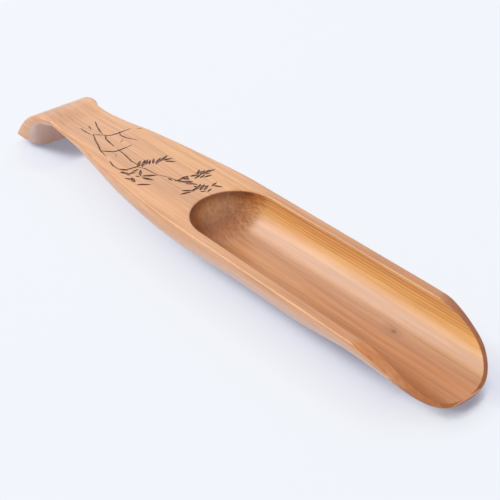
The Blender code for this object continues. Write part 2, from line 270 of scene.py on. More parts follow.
def gouge_profile(fullness):
    """Distances from the trough's middle line and heights, from above the rim to the floor."""
    power = 1 - fullness
    low = math.asin((RIM_ROUND / TROUGH_DEPTH) ** (1 / power))
    wall = TROUGH_HALF * math.cos(low) ** power
    points = [(0, GOUGE_TOP), (wall + FLARE_OUT, GOUGE_TOP), (wall + FLARE_OUT, FLARE_UP)]
    for step in range(RIM_STEPS, -1, -1):
        turn = RIM_TURN * step / RIM_STEPS
        points.append((wall + RIM_ROUND * (1 - math.cos(turn)), RIM_ROUND * (math.sin(turn) - 1)))
    for step in range(1, TROUGH_STEPS):
        turn = low + (math.pi / 2 - low) * step / TROUGH_STEPS
        out, down = TROUGH_HALF * math.cos(turn) ** power, TROUGH_DEPTH * math.sin(turn) ** power
        points.append((out, -down))
    return [*points, (0, -TROUGH_DEPTH)]


def joined_rows(shape, rows):
    """Faces between rows of as many points each."""
    for one, two in zip(rows, rows[1:]):
        for i in range(len(one) - 1):
            shape.faces.new((one[i], one[i + 1], two[i + 1], two[i]))


def gouge():
    """The profile drawn along one side, round the back end and out along the other side."""
    centre = TIP_X - TROUGH_LENGTH + TROUGH_HALF
    side = [TIP_X + TOOL_OVERRUN]
    side += [TIP_X - NOSE_LENGTH * step / TAPER_STEPS for step in range(TAPER_STEPS + 1)]
    places = [(x, math.pi / 2) for x in side]
    places += [(centre, math.pi / 2 + math.pi * step / TURN_STEPS) for step in range(TURN_STEPS)]
    places += [(x, -math.pi / 2) for x in [centre, *side[::-1]]]
    shape = bmesh.new()
    rows = []
    for x, turn in places:
        along = min(1, max(0, (x - TIP_X + NOSE_LENGTH) / NOSE_LENGTH))
        row = []
        for out, up in gouge_profile(NOSE_FULLNESS * along):
            point = (x + out * math.cos(turn), out * math.sin(turn), HEIGHT + up)
            row.append(shape.verts.new(point))
        rows.append(row)
    joined_rows(shape, rows)
    bmesh.ops.remove_doubles(shape, verts=shape.verts, dist=MERGE_DISTANCE)
    bmesh.ops.dissolve_degenerate(shape, edges=shape.edges, dist=MERGE_DISTANCE / 10)
    bmesh.ops.holes_fill(shape, edges=[edge for edge in shape.edges if edge.is_boundary])
    return closed_mesh("gouge", shape)


def knife():
    """Block above the falling rim line, which leans outwards beyond the trough's wall."""
    across = [-y for y in KNIFE_HALF[::-1]] + [0, *KNIFE_HALF]
    drop = RIM_CUT_LENGTH - LIP_LAND
    shape = bmesh.new()
    rows = []
    for step in range(CUT_STEPS + 2):
        run = drop * step / CUT_STEPS if step <= CUT_STEPS else RIM_CUT_LENGTH + TOOL_OVERRUN
        share = min(1, run / drop)
        row = []
        for y in across:
            lean = RIM_CUT_SLOPE * min(1, 2 * share) * max(0, abs(y) - TROUGH_HALF)
            height = HEIGHT - TROUGH_DEPTH * share**2 - lean
            row.append(shape.verts.new((TIP_X - RIM_CUT_LENGTH + run, y, height)))
        rows.append(row)
    joined_rows(shape, rows)
    for raised in extruded(shape, shape.faces[:]):
        raised.co.z = HEIGHT + TOOL_OVERRUN
    return closed_mesh("knife", shape)


worked(blank, [gouge(), knife()])


# Where the photograph was taken from, its direction of view, and its lens in millimetres
CAMERA_PLACE = (0.210811, -0.164645, 0.174608)
CAMERA_AIM = (-0.63889, 0.53799, -0.54989)
CAMERA_LENS = 81.36


# THE ENGRAVING. A bare twig and two sprays of narrow leaves run down the top of the handle. They
# are burnt into the flat face as shallow grooves, dark at the bottom and tapering at their ends.
GROOVE_DEPTH, GROOVE_OVERRUN = 0.00022, 0.0006
MILLIMETRE = 0.001
# Half of a twig's groove, as a share of its full width, at its start, along it and at its end
TWIG_START, TWIG_MIDDLE, TWIG_END = 0.3, 0.5, 0.18
# All twigs are cut a little finer than the widths below
TWIG_BREADTH = 0.95
# The strokes were placed over the photograph and over two enlargements of it. Each of the
# three has its scale, and the pixel of the photograph that its top left corner shows.
PHOTO, HANDLE_CLOSE_UP, LEAF_CLOSE_UP = (1, 0, 0), (9, 60, 90), (6.667, 75, 110)
# Width and height of the photograph in pixels, and of the camera's sensor in millimetres
PHOTO_SIZE, SENSOR_SIZE = 500, 36
# How often a point's height on the curved top is worked out again, and the decimals of a
# millimetre that a stroke is cut to
HEIGHT_ROUNDS, STROKE_DECIMALS = 6, 1
# Each twig's groove width in millimetres, and its middle line in pixels of the handle's close-up
TWIGS = (
    (0.50, (185, 345), (230, 375), (290, 405)),
    (0.45, (258, 325), (270, 342), (282, 357)),
    (0.50, (318, 285), (333, 328), (355, 365), (385, 402)),
    (0.45, (290, 405), (345, 402), (415, 410)),
    (0.50, (300, 400), (318, 452), (345, 497), (362, 545), (420, 602)),
    (0.60, (410, 412), (470, 405), (530, 385), (640, 345)),
    (0.50, (690, 350), (740, 344)),
    (0.50, (535, 385), (548, 408), (595, 430), (705, 450)),
    (0.45, (566, 445), (545, 472)),
    (0.60, (408, 405), (415, 440), (445, 470), (485, 507)),
    (0.60, (362, 548), (420, 552), (480, 556), (530, 545), (650, 494)),
    (0.50, (520, 535), (590, 590), (640, 640), (710, 678)),
    (0.35, (505, 575), (505, 603)),
    (0.50, (450, 640), (475, 680), (520, 712)),
    (0.55, (520, 712), (600, 716), (690, 692), (770, 662)),
    (0.40, (690, 692), (760, 705), (830, 742), (880, 762)),
    (0.30, (880, 764), (960, 780), (1060, 815), (1160, 832), (1240, 858)),
    (0.45, (722, 732), (728, 772)),
)
# Where each leaf starts and ends, in pixels of the picture that is named with it
LEAVES = (
    (HANDLE_CLOSE_UP, (
        ((740, 690), (765, 632)), ((772, 672), (790, 628)), ((805, 668), (812, 632)),
        ((838, 662), (842, 620)), ((866, 666), (902, 612)), ((905, 640), (965, 590)),
        ((925, 632), (1010, 615)), ((950, 640), (1040, 646)), ((700, 690), (722, 640)),
        ((745, 774), (872, 766)), ((742, 790), (842, 812)), ((700, 852), (812, 850)),
        ((545, 742), (568, 752)), ((590, 752), (612, 742)), ((625, 758), (655, 738)),
        ((588, 795), (625, 800)), ((640, 798), (662, 826)), ((660, 735), (705, 712)),
        ((1095, 795), (1155, 802)), ((1138, 778), (1158, 806)), ((1178, 778), (1240, 768)),
        ((1215, 798), (1262, 765)), ((1242, 760), (1252, 718)), ((1262, 765), (1300, 722)),
        ((1290, 760), (1345, 718)), ((1310, 742), (1392, 716)), ((1296, 785), (1362, 765)),
        ((1262, 790), (1300, 765)), ((1088, 938), (1180, 918)), ((1105, 905), (1200, 908)),
        ((1195, 912), (1240, 872)), ((1235, 895), (1262, 848)), ((1262, 902), (1296, 852)),
        ((1300, 900), (1332, 858)), ((1270, 862), (1330, 866)), ((1268, 915), (1310, 912)),
        ((1330, 915), (1362, 888)), ((1368, 866), (1408, 832)), ((1380, 862), (1465, 872)),
        ((1180, 845), (1230, 850)), ((1205, 865), (1245, 880)),
    )),
    (PHOTO, (
        ((168.1, 178.5), (172.4, 180.5)), ((174.9, 181), (181.7, 179.3)),
        ((180, 181.9), (192.8, 181.5)), ((181.7, 178.1), (188.5, 175.9)),
        ((186, 183.6), (197, 184.1)), ((131.6, 181), (135.8, 182)), ((126, 174.2), (130, 175.5)),
    )),
    (LEAF_CLOSE_UP, (
        ((300, 397), (352, 404)), ((308, 413), (362, 431)), ((352, 426), (402, 419)),
        ((437, 402), (436, 438)), ((378, 452), (402, 478)), ((336, 457), (386, 463)),
        ((405, 440), (432, 446)), ((770, 441), (822, 431)), ((806, 424), (852, 409)),
        ((858, 428), (902, 419)), ((702, 456), (762, 462)), ((668, 468), (742, 484)),
        ((744, 482), (800, 494)), ((782, 535), (815, 520)),
    )),
)
# Shares of a leaf's length, and its breadth there as a share of the most
LEAF_SHAPE = ((0, 0.12), (0.2, 0.7), (0.45, 1), (0.75, 0.65), (1, 0.08))
# A leaf is drawn out at both ends by a share of its length and by a little more, in millimetres
LEAF_SHARE_OUT, LEAF_MORE_OUT = 0.05, 0.1
# Half the breadth of a leaf of one millimetre, and the power of its length that it grows with
LEAF_HALF, LEAF_GROWTH = 0.21, 0.65
# Points of strokes that lie closer than this are merged, in metres
STROKE_JOIN = 1e-6
CHARRED, SINGED = (0.14, 0.07, 0.055), (0.36, 0.2, 0.15)


def stroke_outline(points, half_widths):
    """Polygon round a middle line, in metres."""
    left, right = [], []
    for i, point in enumerate(points):
        along = points[min(i + 1, len(points) - 1)] - points[max(i - 1, 0)]
        side = along.orthogonal().normalized() * half_widths[i]
        left.append((point + side) * MILLIMETRE)
        right.append((point - side) * MILLIMETRE)
    return right + left[::-1]


def on_handle(picture, pixel):
    """Where a pixel's line of sight meets the handle's top face, in millimetres."""
    scale, *corner = picture
    across, down = (start + place / scale - PHOTO_SIZE / 2 for start, place in zip(corner, pixel))
    aim = Vector(CAMERA_AIM).normalized()
    right = aim.cross(Vector((0, 0, 1))).normalized()
    ray = aim * CAMERA_LENS / SENSOR_SIZE * PHOTO_SIZE + right * across - right.cross(aim) * down
    height = HEIGHT
    for _ in range(HEIGHT_ROUNDS):
        met = Vector(CAMERA_PLACE) + ray * (height - CAMERA_PLACE[2]) / ray.z
        height = faired(TOP_LINE, met.x)
    return Vector([round(place / MILLIMETRE, STROKE_DECIMALS) for place in met.xy])


def stroke_outlines():
    """The outlines of all twigs and leaves."""
    outlines = []
    for width, *line in TWIGS:
        points = [on_handle(HANDLE_CLOSE_UP, pixel) for pixel in line]
        taper = [TWIG_START, *[TWIG_MIDDLE] * (len(points) - 2), TWIG_END]
        outlines.append(stroke_outline(points, [TWIG_BREADTH * width * share for share in taper]))
    leaves = [(picture, *ends) for picture, group in LEAVES for ends in group]
    for picture, *ends in leaves:
        start, end = (on_handle(picture, pixel) for pixel in ends)
        drawn_out = LEAF_SHARE_OUT + LEAF_MORE_OUT / (end - start).length
        start, end = start.lerp(end, -drawn_out), start.lerp(end, 1 + drawn_out)
        half = LEAF_HALF * (end - start).length ** LEAF_GROWTH
        points = [start.lerp(end, along) for along, _ in LEAF_SHAPE]
        outlines.append(stroke_outline(points, [half * full for _, full in LEAF_SHAPE]))
    return outlines


def groove_tool(burnt_face):
    """All the strokes merged into one shape that reaches down to the grooves' bottom."""
    outlines = stroke_outlines()
    corners = [corner for outline in outlines for corner in outline]
    rings, used = [], 0
    for outline in outlines:
        rings.append(list(range(used, used + len(outline))))
        used += len(outline)
    merged = geometry.delaunay_2d_cdt(corners, [], rings, 0, STROKE_JOIN)
    points, _, faces, _, _, sources = merged
    shape = bmesh.new()
    verts = [shape.verts.new((x, y, faired(TOP_LINE, x) + GROOVE_OVERRUN)) for x, y in points]
    for face, source in zip(faces, sources):
        if source:
            shape.faces.new([verts[i] for i in face])
    loose = [vert for vert in shape.verts if not vert.link_faces]
    bmesh.ops.delete(shape, geom=loose, context="VERTS")
    for sunk in extruded(shape, shape.faces[:]):
        sunk.co.z -= GROOVE_OVERRUN + GROOVE_DEPTH
    return closed_mesh("groove_tool", shape, burnt_face)


def fill(socket, value):
    """Join an output to an input, or write a number, a vector or a colour on it."""
    if isinstance(value, bpy.types.NodeSocket):
        socket.id_data.links.new(value, socket)
    elif socket.type == "RGBA":
        socket.default_value = (*value, 1)
    else:
        socket.default_value = value


def added(tree, kind, inputs=None, **settings):
    """New node with its settings, and with each named input joined or written."""
    made = tree.nodes.new(kind)
    for key, value in settings.items():
        setattr(made, key, value)
    for key, value in (inputs or {}).items():
        fill(made.inputs[key], value)
    return made


def ramp(value, *stops):
    """Colour by value, between stops. A single number stands for a grey."""
    made = added(value.id_data, "ShaderNodeValToRGB", {"Fac": value})
    line = made.color_ramp
    while len(line.elements) < len(stops):
        line.elements.new(0.5)
    for element, (at, colour) in zip(line.elements, stops):
        element.position = at
        element.color = (*colour, 1) if isinstance(colour, tuple) else (colour, colour, colour, 1)
    return made.outputs["Color"]


def surface(name):
    """New material, and the node of its surface."""
    material = bpy.data.materials.new(name)
    material.use_nodes = True
    return material, material.node_tree.nodes["Principled BSDF"]


def scorched_wood():
    """Wood burnt brown by a hot point, in darker and lighter patches."""
    material, skin = surface("scorched_groove")
    place = added(material.node_tree, "ShaderNodeTexCoord").outputs["Object"]
    patches = {"Vector": place, "Scale": 900, "Detail": 4}
    char = added(material.node_tree, "ShaderNodeTexNoise", patches).outputs[0]
    fill(skin.inputs["Base Color"], ramp(char, (0.38, CHARRED), (0.66, SINGED)))
    fill(skin.inputs["Roughness"], 0.8)
    return material


scorch = scorched_wood()
worked(blank, [groove_tool(scorch)])


# THE STRIPS. The block is five bamboo strips, glued on edge. Each runs the whole length that the
# outline leaves it. Here the finished block is parted again along its glue joints.
GLUE_FILM = 0.00002
# Where each joint lies across the scoop, and how strongly it shows. The first and the last are
# past the block's sides.
JOINTS = ((0.02, 0), (0.01255, 0.06), (0.0058, 0.13), (-0.00105, 0.03), (-0.0079, 0.03), (-0.02, 0))
# Each strip's name, the tone of its wood, and how strongly its veins show. The left side strip forms
# the far wall in the bowl, and its tone is raised partly as painted light there.
STRIPS = (
    ("left_edge_strip", (1, 0.97, 0.93), 0.12),
    ("left_side_strip", (1.1, 1.12, 1.0), 0.5),
    ("left_core_strip", (1.0, 0.98, 0.98), 0.08),
    ("right_core_strip", (0.92, 0.89, 0.86), 0.07),
    ("right_side_strip", (1.06, 1.06, 1.07), 0.07),
)
# Place, size and depth of colour of the marks where a bud once grew
BUD_MARKS = {
    "left_core_strip": (
        ((0.0647, 0.0046), (0.0011, 0.0006), 0.85),
        ((0.0641, 0.0048), (0.0042, 0.0021), 0.35),
    ),
}
SLAB_LENGTH, SLAB_HEIGHT, SHARP_EDGE = 0.3, 0.1, math.radians(32)


def maths(operation, one, two=0):
    """Result of one sum on a number from a node and another number."""
    made = added(one.id_data, "ShaderNodeMath", {0: one, 1: two}, operation=operation)
    return made.outputs[0]


def parting_tree():
    """Geometry Nodes that keep the part of a block between two glue joints."""
    tree = bpy.data.node_groups.new("part_strip", "GeometryNodeTree")
    face = tree.interface
    face.new_socket("Block", in_out="INPUT", socket_type="NodeSocketGeometry")
    for name, value in (("Left joint", 0.01), ("Right joint", 0), ("Glue film", GLUE_FILM)):
        face.new_socket(name, in_out="INPUT", socket_type="NodeSocketFloat").default_value = value
    face.new_socket("Groove", in_out="INPUT", socket_type="NodeSocketMaterial")
    face.new_socket("Bamboo", in_out="INPUT", socket_type="NodeSocketMaterial")
    face.new_socket("Strip", in_out="OUTPUT", socket_type="NodeSocketGeometry")
    given = added(tree, "NodeGroupInput").outputs

    left, right = given["Left joint"], given["Right joint"]
    width = maths("SUBTRACT", maths("SUBTRACT", left, right), given["Glue film"])
    middle = maths("DIVIDE", maths("ADD", left, right), 2)
    size = added(tree, "ShaderNodeCombineXYZ", {"X": SLAB_LENGTH, "Y": width, "Z": SLAB_HEIGHT})
    place = added(tree, "ShaderNodeCombineXYZ", {"Y": middle})
    slab = added(tree, "GeometryNodeMeshCube", {"Size": size.outputs[0]})
    moved = added(tree, "GeometryNodeTransform", {"Geometry": slab.outputs["Mesh"]})
    fill(moved.inputs["Translation"], place.outputs[0])

    burnt = added(tree, "GeometryNodeMaterialSelection", {"Material": given["Groove"]})
    noted = added(tree, "GeometryNodeCaptureAttribute", domain="FACE")
    noted.capture_items.new("BOOLEAN", "Burnt")
    fill(noted.inputs["Geometry"], given["Block"])
    fill(noted.inputs["Burnt"], burnt.outputs[0])
    cut = added(tree, "GeometryNodeMeshBoolean", operation="INTERSECT", solver="MANIFOLD")
    fill(cut.inputs["Mesh 2"], noted.outputs["Geometry"])
    fill(cut.inputs["Mesh 2"], moved.outputs[0])

    angle = added(tree, "GeometryNodeInputMeshEdgeAngle").outputs["Unsigned Angle"]
    sharp = added(tree, "FunctionNodeCompare", {"A": angle, "B": SHARP_EDGE}).outputs[0]
    smooth = added(tree, "GeometryNodeSetShadeSmooth", {"Geometry": cut.outputs["Mesh"]})
    at_creases = {"Geometry": smooth.outputs[0], "Selection": sharp, "Shade Smooth": False}
    creased = added(tree, "GeometryNodeSetShadeSmooth", at_creases, domain="EDGE")
    real = added(tree, "GeometryNodeRealizeInstances", {"Geometry": creased.outputs[0]})
    everywhere = {"Geometry": real.outputs[0], "Material": given["Bamboo"]}
    faced = added(tree, "GeometryNodeSetMaterial", everywhere)
    in_grooves = {"Geometry": faced.outputs[0], "Selection": noted.outputs["Burnt"]}
    grooved = added(tree, "GeometryNodeSetMaterial", in_grooves)
    fill(grooved.inputs["Material"], given["Groove"])
    added(tree, "NodeGroupOutput", {"Strip": grooved.outputs[0]})
    return tree


# Bamboo's colour in its dark, plain and light bands, before the tone of the strip
BAMBOO_SHADES = ((0.65, 0.275, 0.082), (0.78, 0.353, 0.128), (0.86, 0.425, 0.17))
# The hook's pink is a painted reflection of the white table; the glue's pale is its own colour
TABLE_REFLECTION_PINK, GLUE_PALE = (0.84, 0.66, 0.6), (0.82, 0.62, 0.47)
# What the bamboo's colour is multiplied by in veins, cut fibres and bud marks
VEIN_BROWN, FIBRE_BROWN, BUD_BROWN = (0.5, 0.36, 0.24), (0.5, 0.34, 0.2), (0.42, 0.3, 0.24)
UNCHANGED = (1, 1, 1)
# And at places on the scoop. These were set by comparing the render with the photograph, and some
# stand in for light that the lamps don't give.
# The far wall's tone is painted light, and the slope's tone is painted shade
FAR_WALL_PAINTED_LIGHT, SLOPE_PAINTED_SHADE = (1.27, 1.42, 1.34), (0.84, 0.83, 0.95)
# Painted shade on the floor, browner towards the nose
FLOOR_PAINTED_SHADE, NOSE_FLOOR_PAINTED_SHADE = (0.8, 0.68, 0.45), (0.8, 0.61, 0.34)
# Slanted cuts are browner from end grain and painted shade; the square cut's pale, bluish tone is a
# painted reflection
SLANTED_CUT_GRAIN_AND_SHADE, STEEPER_CUT_GRAIN_AND_SHADE, SQUARE_CUT_PAINTED_REFLECTION = (0.98, 0.86, 0.7), (0.8, 0.65, 0.58), (1.05, 1.2, 1.45)
# A darker tone near the back wall's rim; the far wall's fine lines are the wood's own
BACK_WALL_RIM_DARKENING, LINE_TINT = (0.5, 0.38, 0.36), (1, 0.82, 0.64)
# Painted shade on the wall below the right rim
NEAR_WALL_SHADE_LOW, NEAR_WALL_SHADE_HIGH = (0.86, 0.77, 0.7), (0.6, 0.46, 0.38)
# Painted light on the cut rim's right side, and painted shade on its left
RIM_CUT_RIGHT_PAINTED_LIGHT, RIM_CUT_LEFT_PAINTED_SHADE = (1.1, 0.97, 0.8), (0.76, 0.6, 0.48)
# The tip's edge is brown from end grain and painted shade
TIP_EDGE_GRAIN_AND_SHADE = (0.6, 0.47, 0.4)
# The grain's patterns per metre along, across and up the strip
BAND_SCALE, STREAK_SCALE, HAIR_SCALE = (7, 190, 190), (26, 1500, 1500), (50, 5200, 5200)
VEIN_SCALE, WANDER_SCALE = (1.5, 157, 523), (12, 1, 1)
# Shifts that keep one pattern apart from another, and one strip's patterns from the next one's
BAND_SHIFT, STREAK_SHIFT, HAIR_SHIFT, VEIN_SHIFT, WANDER_SHIFT = 0, 5, 9, 13, 21
STRIP_SHIFT = (3.1, 7.7, 5.3)
# How much of the streaks and hairs shows
STREAK_DEPTH, HAIR_DEPTH = 0.16, 0.14
# Half the width of a glue line's full middle, and of the whole line
GLUE_CORE, GLUE_EDGE = 0.00008, 0.00026
# The far wall's fine lines lie between these heights, and wander up and down by this much
LINES_LOW, LINES_HIGH, LINE_WANDER = 0.0105, 0.0148, 0.00009
# Each line's place between the two heights and how pale it is, and half a line's breadth
LINES = ((0.1, 0.75), (0.25, 0.88), (0.42, 0.65), (0.58, 0.86), (0.79, 0.55))
LINE_HALF = 0.05

# What the bamboo's nodes read: the place on the scoop in metres, the parts of the direction that
# the surface faces, and end_grain, which is how squarely the surface cuts across the fibres
Wood = namedtuple("Wood", "seed place x y z faces_tip faces_left faces_up end_grain")


def mixed(mode, amount, one, two):
    """Two colours mixed by an amount. At least one of the three comes from a node."""
    given = (amount, one, two)
    tree = next(value.id_data for value in given if isinstance(value, bpy.types.NodeSocket))
    # A node that mixes colours has its factor at 0, its colours at 6 and 7, and its result at 2
    settings = {"data_type": "RGBA", "blend_type": mode}
    return added(tree, "ShaderNodeMix", dict(zip((0, 6, 7), given)), **settings).outputs[2]


def fades(value, start, end, at_start=0, at_end=1):
    """A mask that runs from start to end, and stays level beyond them."""
    limits = {"From Min": start, "From Max": end, "To Min": at_start, "To Max": at_end}
    return added(value.id_data, "ShaderNodeMapRange", {"Value": value, **limits}).outputs[0]


def both(*masks):
    """Where all of the masks are on."""
    product = masks[0]
    for mask in masks[1:]:
        product = maths("MULTIPLY", product, mask)
    return product


def toned(colour, mask, tone):
    """The colour multiplied by a tone, as far as the mask is on."""
    return mixed("MULTIPLY", mask, colour, tone)


def parts_of(vector):
    """A vector's three numbers."""
    return added(vector.id_data, "ShaderNodeSeparateXYZ", {0: vector}).outputs[:3]


def drawn_out_grain(wood, kind, scale, shift, inputs=None, **settings):
    """A texture drawn out along the strip: scale is per metre along, across and up."""
    tree = wood.place.id_data
    location = [step * wood.seed for step in STRIP_SHIFT]
    location[0] += shift
    stretched = {"Vector": wood.place, "Scale": scale, "Location": location}
    laid = added(tree, "ShaderNodeMapping", stretched).outputs[0]
    return added(tree, kind, {"Vector": laid, **(inputs or {})}, **settings).outputs[0]


def fine_streaks(wood):
    """Streaks of fibre, which also give the finish its slight relief."""
    rough = {"Detail": 5, "Roughness": 0.65}
    return drawn_out_grain(wood, "ShaderNodeTexNoise", STREAK_SCALE, STREAK_SHIFT, rough)


def grained(wood, tone, streaks, vein):
    """The strip's own colour in broad bands, fine streaks, the finest hairs, and dark veins."""
    soft, rough = {"Detail": 3, "Roughness": 0.5}, {"Detail": 3, "Roughness": 0.7}
    bands = drawn_out_grain(wood, "ShaderNodeTexNoise", BAND_SCALE, BAND_SHIFT, soft)
    hairs = drawn_out_grain(wood, "ShaderNodeTexNoise", HAIR_SCALE, HAIR_SHIFT, rough)
    wavy, slanting = {"Distortion": 1.6, "Detail": 2}, {"bands_direction": "DIAGONAL"}
    veins = drawn_out_grain(wood, "ShaderNodeTexWave", VEIN_SCALE, VEIN_SHIFT, wavy, **slanting)
    dark, plain, light = [
        tuple(part * factor for part, factor in zip(shade, tone)) for shade in BAMBOO_SHADES
    ]
    colour = ramp(bands, (0.3, dark), (0.5, plain), (0.72, light))
    colour = toned(colour, STREAK_DEPTH, ramp(streaks, (0.3, 0.75), (0.62, 1.1)))
    colour = toned(colour, HAIR_DEPTH, ramp(hairs, (0.35, 0.7), (0.6, 1.1)))
    return toned(colour, vein, ramp(veins, (0.02, VEIN_BROWN), (0.22, UNCHANGED)))


def cut_fibres(wood, colour, on_back_wall):
    """Dots of fibre bundles, where the trough's back wall cuts across the grain."""
    level = added(wood.place.id_data, "ShaderNodeCombineXYZ", {"X": wood.y, "Y": wood.z})
    spread = {"Vector": level.outputs[0], "Scale": 1400, "Randomness": 0.75}
    bundles = added(wood.place.id_data, "ShaderNodeTexVoronoi", spread, voronoi_dimensions="2D")
    across = ramp(wood.end_grain, (0.12, 0), (0.28, 0.5), (0.6, 0.4), (0.9, 0.15))
    showing = both(on_back_wall, across, fades(wood.y, 0.001, 0.006, 0.35, 1))
    dots = ramp(bundles.outputs["Distance"], (0.2, FIBRE_BROWN), (0.42, UNCHANGED))
    return toned(colour, showing, dots)


def far_wall_painted_light_and_lines(wood, colour):
    """Painted light makes the wall below the left rim the palest; fine darker lines run along it."""
    past_back_wall, left_of_middle = fades(wood.x, 0, 0.014), fades(wood.y, 0.001, 0.003)
    on_wall = both(past_back_wall, left_of_middle, fades(wood.faces_left, -0.6, -0.88))
    colour = toned(colour, on_wall, FAR_WALL_PAINTED_LIGHT)
    noise = drawn_out_grain(wood, "ShaderNodeTexNoise", WANDER_SCALE, WANDER_SHIFT)
    wander = fades(noise, 0.3, 0.7, -LINE_WANDER, LINE_WANDER)
    level = fades(maths("ADD", wood.z, wander), LINES_LOW, LINES_HIGH)
    stops = []
    for height, pale in LINES:
        stops.append((height - LINE_HALF, UNCHANGED))
        stops.append((height, tuple(pale * part for part in LINE_TINT)))
        stops.append((height + LINE_HALF, UNCHANGED))
    return toned(colour, on_wall, ramp(level, *stops))


def floor_and_slope_painted_shade(wood, colour):
    """Painted shade makes the floor duller and browner towards the nose, and the slope beside it
    darker and greyer.
    """
    on_floor = both(fades(wood.x, 0, 0.05), fades(wood.faces_left, -0.35, -0.05))
    towards_nose = fades(wood.x, 0.04, 0.08)
    colour = toned(colour, on_floor, mixed("MIX", towards_nose, FLOOR_PAINTED_SHADE, NOSE_FLOOR_PAINTED_SHADE))
    leaning = both(fades(wood.faces_left, -0.05, -0.25), fades(wood.faces_left, -0.8, -0.6))
    on_slope = both(leaning, fades(wood.x, 0, 0.014))
    return toned(colour, on_slope, SLOPE_PAINTED_SHADE)


def back_wall_grain_and_painted_light(wood, colour, on_back_wall):
    """Browner from end grain and painted shade where cut at a slant, a pale painted reflection where
    cut square, darker at the rim.
    """
    stops = (0.2, UNCHANGED), (0.4, SLANTED_CUT_GRAIN_AND_SHADE), (0.62, STEEPER_CUT_GRAIN_AND_SHADE), (0.88, SQUARE_CUT_PAINTED_REFLECTION)
    colour = toned(colour, on_back_wall, ramp(wood.end_grain, *stops))
    near_rim = fades(wood.z, 0.0118, 0.0145)
    darkened_near_rim = both(near_rim, on_back_wall, fades(wood.end_grain, 0.3, 0.6))
    return toned(colour, darkened_near_rim, BACK_WALL_RIM_DARKENING)


def near_wall_painted_shade(wood, colour, in_bowl):
    """Painted shade makes the wall below the right rim darker the steeper it stands."""
    on_wall = both(in_bowl, fades(wood.y, 0, -0.002))
    stops = (0.08, UNCHANGED), (0.3, NEAR_WALL_SHADE_LOW), (0.55, NEAR_WALL_SHADE_HIGH)
    return toned(colour, on_wall, ramp(wood.faces_left, *stops))


def nose_rim_painted_light_shade_and_grain(wood, colour):
    """Painted light makes the cut rim pale on the right, painted shade brown on the left; the tip's
    edge is brown from end grain and painted shade.
    """
    on_nose = fades(wood.x, 0.066, 0.07)
    rim_cut = both(on_nose, fades(wood.faces_tip, 0.1, 0.25))
    to_the_left = fades(wood.y, -0.008, -0.002)
    colour = toned(colour, rim_cut, mixed("MIX", to_the_left, RIM_CUT_RIGHT_PAINTED_LIGHT, RIM_CUT_LEFT_PAINTED_SHADE))
    upright = both(fades(wood.faces_tip, 0.15, 0.4), fades(wood.faces_up, 0.45, 0.1))
    return toned(colour, both(on_nose, upright), TIP_EDGE_GRAIN_AND_SHADE)


def hook_inside_painted_reflection(wood, colour):
    """The inside of the hook gets a pinkish painted reflection of the white table."""
    on_hook, facing_tip = fades(wood.x, -0.065, -0.055, 1, 0), fades(wood.faces_tip, 0.1, 0.7, 0, 0.75)
    return mixed("MIX", both(on_hook, facing_tip), colour, TABLE_REFLECTION_PINK)


def glue_lines(wood, colour, joints):
    """Thin pale lines at the strip's two joints, strongest where the grain is cut across."""
    for joint, shows in joints:
        distance = maths("ABSOLUTE", maths("SUBTRACT", wood.y, joint))
        seam = fades(distance, GLUE_CORE, GLUE_EDGE, shows, 0)
        glued = both(seam, fades(wood.end_grain, 0.3, 0.7, 0.15, 1))
        colour = mixed("MIX", glued, colour, GLUE_PALE)
    return colour


def bud_marks(wood, colour, marks):
    """Oval stains where a bud once grew."""
    tree = wood.place.id_data
    for (x, y), size, depth in marks:
        scale, location = (1 / size[0], 1 / size[1], 0), (-x / size[0], -y / size[1], 0)
        centred = {"Vector": wood.place, "Scale": scale, "Location": location}
        laid = added(tree, "ShaderNodeMapping", centred).outputs[0]
        spot = added(tree, "ShaderNodeVectorMath", {0: laid}, operation="LENGTH")
        stain = ramp(spot.outputs["Value"], (0.15, BUD_BROWN), (1, UNCHANGED))
        colour = toned(colour, depth, stain)
    return colour


def satin_coat(skin, streaks):
    """A thin clear finish over the streaks."""
    fill(skin.inputs["Roughness"], ramp(streaks, (0.25, 0.46), (0.75, 0.38)))
    fill(skin.inputs["Specular IOR Level"], 0.5)
    fill(skin.inputs["Coat Weight"], 1)
    fill(skin.inputs["Coat Roughness"], 0.33)
    relief = {"Strength": 0.25, "Distance": 0.00006, "Height": streaks}
    fill(skin.inputs["Normal"], added(skin.id_data, "ShaderNodeBump", relief).outputs[0])


def bamboo(name, tone, seed, joints, vein, marks):
    """Satin bamboo for one strip."""
    material, skin = surface(name)
    coordinates = added(material.node_tree, "ShaderNodeTexCoord").outputs
    faces = parts_of(coordinates["Normal"])
    place = coordinates["Object"]
    wood = Wood(seed, place, *parts_of(place), *faces, maths("ABSOLUTE", faces[0]))
    streaks = fine_streaks(wood)
    in_bowl = fades(wood.x, -0.05, -0.02)
    on_back_wall = both(in_bowl, fades(wood.x, 0.025, 0.045, 1, 0))
    colour = grained(wood, tone, streaks, vein)
    colour = cut_fibres(wood, colour, on_back_wall)
    colour = far_wall_painted_light_and_lines(wood, colour)
    colour = floor_and_slope_painted_shade(wood, colour)
    colour = back_wall_grain_and_painted_light(wood, colour, on_back_wall)
    colour = near_wall_painted_shade(wood, colour, in_bowl)
    colour = nose_rim_painted_light_shade_and_grain(wood, colour)
    colour = hook_inside_painted_reflection(wood, colour)
    colour = glue_lines(wood, colour, joints)
    colour = bud_marks(wood, colour, marks)
    fill(skin.inputs["Base Color"], colour)
    satin_coat(skin, streaks)
    return material


def drop_unworn_slots(mesh):
    """Keep only the materials that a face of the mesh wears."""
    worn = {face.material_index for face in mesh.polygons}
    for unworn in sorted(set(range(len(mesh.materials))) - worn, reverse=True):
        mesh.materials.pop(index=unworn)


